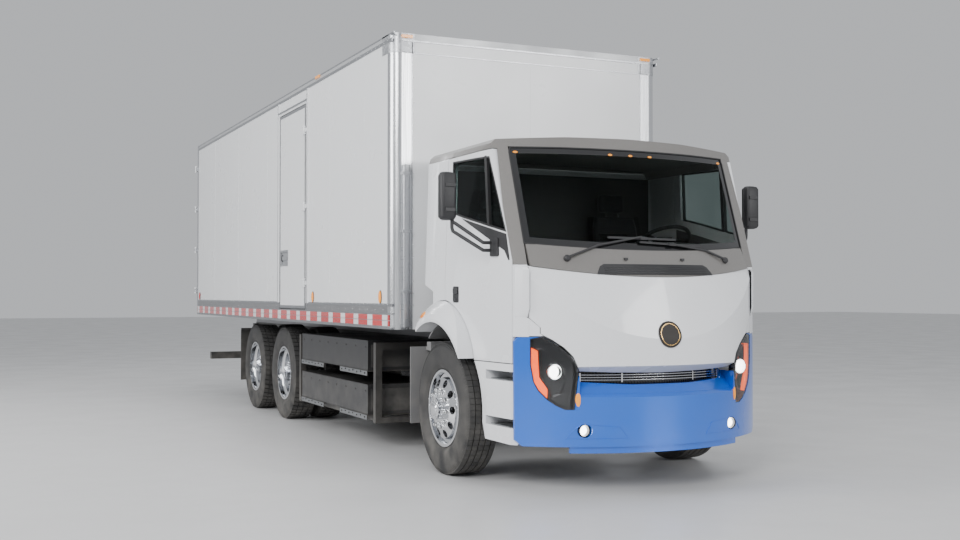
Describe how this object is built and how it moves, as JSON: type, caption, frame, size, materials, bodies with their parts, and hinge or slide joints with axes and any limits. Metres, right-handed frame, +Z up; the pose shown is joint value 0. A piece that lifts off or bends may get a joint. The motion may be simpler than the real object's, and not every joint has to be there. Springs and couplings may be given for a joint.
{
  "type": "electric box truck",
  "caption": "Low-cab-forward electric box truck with a driven tandem, side battery packs, opening cab, side and rear doors and steered front wheels.",
  "frame": {"origin": "on the road below the middle of the overall length and width", "axes": "+X towards the driver's side (the truck's left), +Y towards the rear, +Z up"},
  "size_m": [2.828, 10.41, 3.566],
  "materials": {
    "frame_paint": "satin",
    "axle_iron": "matte",
    "motor_casing": "satin",
    "battery_case": "satin",
    "rack_paint": "satin",
    "tyre_rubber": "matte",
    "wheel_alloy": "polished",
    "cab_white": "gloss",
    "cab_grey": "satin metallic",
    "windscreen": "tinted",
    "door_glazing": "tinted",
    "grille_black": "matte",
    "bumper_blue": "gloss metallic",
    "lamp_lens": "gloss",
    "liner_plastic": "matte",
    "black_plastic": "satin",
    "seat_fabric": "woven",
    "dash_plastic": "grained",
    "floor_steel": "satin",
    "box_white": "gloss",
    "post_aluminium": "polished",
    "roof_grey": "satin",
    "galvanised": "satin"
  },
  "bodies": {
    "root": {"chassis_frame": "frame_paint", "front_axle": "axle_iron", "suspension": "frame_paint", "drive_axles": "axle_iron", "drive_motor": "motor_casing", "battery_packs": "battery_case", "battery_racks": "rack_paint", "cab_shell": "cab_white", "cab_roof": "cab_grey", "windshield": "windscreen", "cowl": "cab_grey", "front_panel": "cab_white", "grille": "grille_black", "bumper": "bumper_blue", "headlights": "lamp_lens", "fenders": "cab_white", "step_panels": "cab_white", "wheel_liners": "liner_plastic", "wipers": "black_plastic", "seats": "seat_fabric", "dashboard": "dash_plastic", "box_floor": "floor_steel", "box_walls": "box_white", "box_posts": "post_aluminium", "box_roof": "roof_grey", "rear_frame": "galvanised", "rear_guard": "frame_paint"},
    "left_knuckle": {"knuckle_left": "axle_iron"},
    "right_knuckle": {"knuckle_right": "axle_iron"},
    "track_rod": {"tie_rod": "axle_iron"},
    "left_front_wheel": {"front_wheel_left": "wheel_alloy", "front_tyre_left": "tyre_rubber"},
    "right_front_wheel": {"front_wheel_right": "wheel_alloy", "front_tyre_right": "tyre_rubber"},
    "left_forward_twin": {"forward_twin_wheels_left": "wheel_alloy", "forward_twin_tyres_left": "tyre_rubber"},
    "right_forward_twin": {"forward_twin_wheels_right": "wheel_alloy", "forward_twin_tyres_right": "tyre_rubber"},
    "left_aft_twin": {"aft_twin_wheels_left": "wheel_alloy", "aft_twin_tyres_left": "tyre_rubber"},
    "right_aft_twin": {"aft_twin_wheels_right": "wheel_alloy", "aft_twin_tyres_right": "tyre_rubber"},
    "left_cab_door": {"door_left": "cab_white", "door_glass_left": "door_glazing", "mirror_left": "black_plastic"},
    "right_cab_door": {"door_right": "cab_white", "door_glass_right": "door_glazing", "mirror_right": "black_plastic"},
    "steering": {"steering_wheel": "black_plastic"},
    "kerb_door": {"side_door": "box_white"},
    "left_rear_door": {"rear_door_left": "box_white"},
    "right_rear_door": {"rear_door_right": "box_white"}
  },
  "joints": [
    {"name": "steer_left", "type": "hinge", "parent": "root", "child": "left_knuckle", "pos_m": [0.87, -3.785, 0.51], "axis": [0, 0, 1], "range_deg": [-40, 40]},
    {"name": "steer_right", "type": "hinge", "parent": "root", "child": "right_knuckle", "pos_m": [-0.87, -3.785, 0.51], "axis": [0, 0, 1], "range_deg": [-40, 40]},
    {"name": "track_rod_swing", "type": "hinge", "parent": "left_knuckle", "child": "track_rod", "pos_m": [0.87, -3.595, 0.39], "axis": [0, 0, 1], "range_deg": [-40, 40]},
    {"name": "steering_wheel_turn", "type": "hinge", "parent": "root", "child": "steering", "pos_m": [0.56, -4.255, 1.8], "axis": [0, 0.5299, 0.848], "range_deg": [-720, 720]},
    {"name": "front_left_roll", "type": "hinge", "parent": "left_knuckle", "child": "left_front_wheel", "pos_m": [1.02, -3.785, 0.51], "axis": [1, 0, 0], "continuous": true},
    {"name": "front_right_roll", "type": "hinge", "parent": "right_knuckle", "child": "right_front_wheel", "pos_m": [-1.02, -3.785, 0.51], "axis": [1, 0, 0], "continuous": true},
    {"name": "forward_left_roll", "type": "hinge", "parent": "root", "child": "left_forward_twin", "pos_m": [0.898, 0.701, 0.51], "axis": [1, 0, 0], "continuous": true},
    {"name": "forward_right_roll", "type": "hinge", "parent": "root", "child": "right_forward_twin", "pos_m": [-0.898, 0.701, 0.51], "axis": [1, 0, 0], "continuous": true},
    {"name": "aft_left_roll", "type": "hinge", "parent": "root", "child": "left_aft_twin", "pos_m": [0.898, 2.026, 0.51], "axis": [1, 0, 0], "continuous": true},
    {"name": "aft_right_roll", "type": "hinge", "parent": "root", "child": "right_aft_twin", "pos_m": [-0.898, 2.026, 0.51], "axis": [1, 0, 0], "continuous": true},
    {"name": "left_cab_door_swing", "type": "hinge", "parent": "root", "child": "left_cab_door", "pos_m": [1.046, -4.763, 1.315], "axis": [0, 0, -1], "range_deg": [0, 70]},
    {"name": "right_cab_door_swing", "type": "hinge", "parent": "root", "child": "right_cab_door", "pos_m": [-1.046, -4.763, 1.315], "axis": [0, 0, 1], "range_deg": [0, 70]},
    {"name": "kerb_door_swing", "type": "hinge", "parent": "root", "child": "kerb_door", "pos_m": [-1.311, -0.524, 2.3], "axis": [0, 0, 1], "range_deg": [0, 165]},
    {"name": "left_rear_door_swing", "type": "hinge", "parent": "root", "child": "left_rear_door", "pos_m": [1.317, 5.157, 2.3], "axis": [0, 0, -1], "range_deg": [0, 250]},
    {"name": "right_rear_door_swing", "type": "hinge", "parent": "root", "child": "right_rear_door", "pos_m": [-1.317, 5.157, 2.3], "axis": [0, 0, 1], "range_deg": [0, 250]}
  ],
  "couplings": [
    {"joint": "steer_right", "follows": "steer_left", "ratio": 1},
    {"joint": "track_rod_swing", "follows": "steer_left", "ratio": -1},
    {"joint": "steering_wheel_turn", "follows": "steer_left", "ratio": 18}
  ]
}
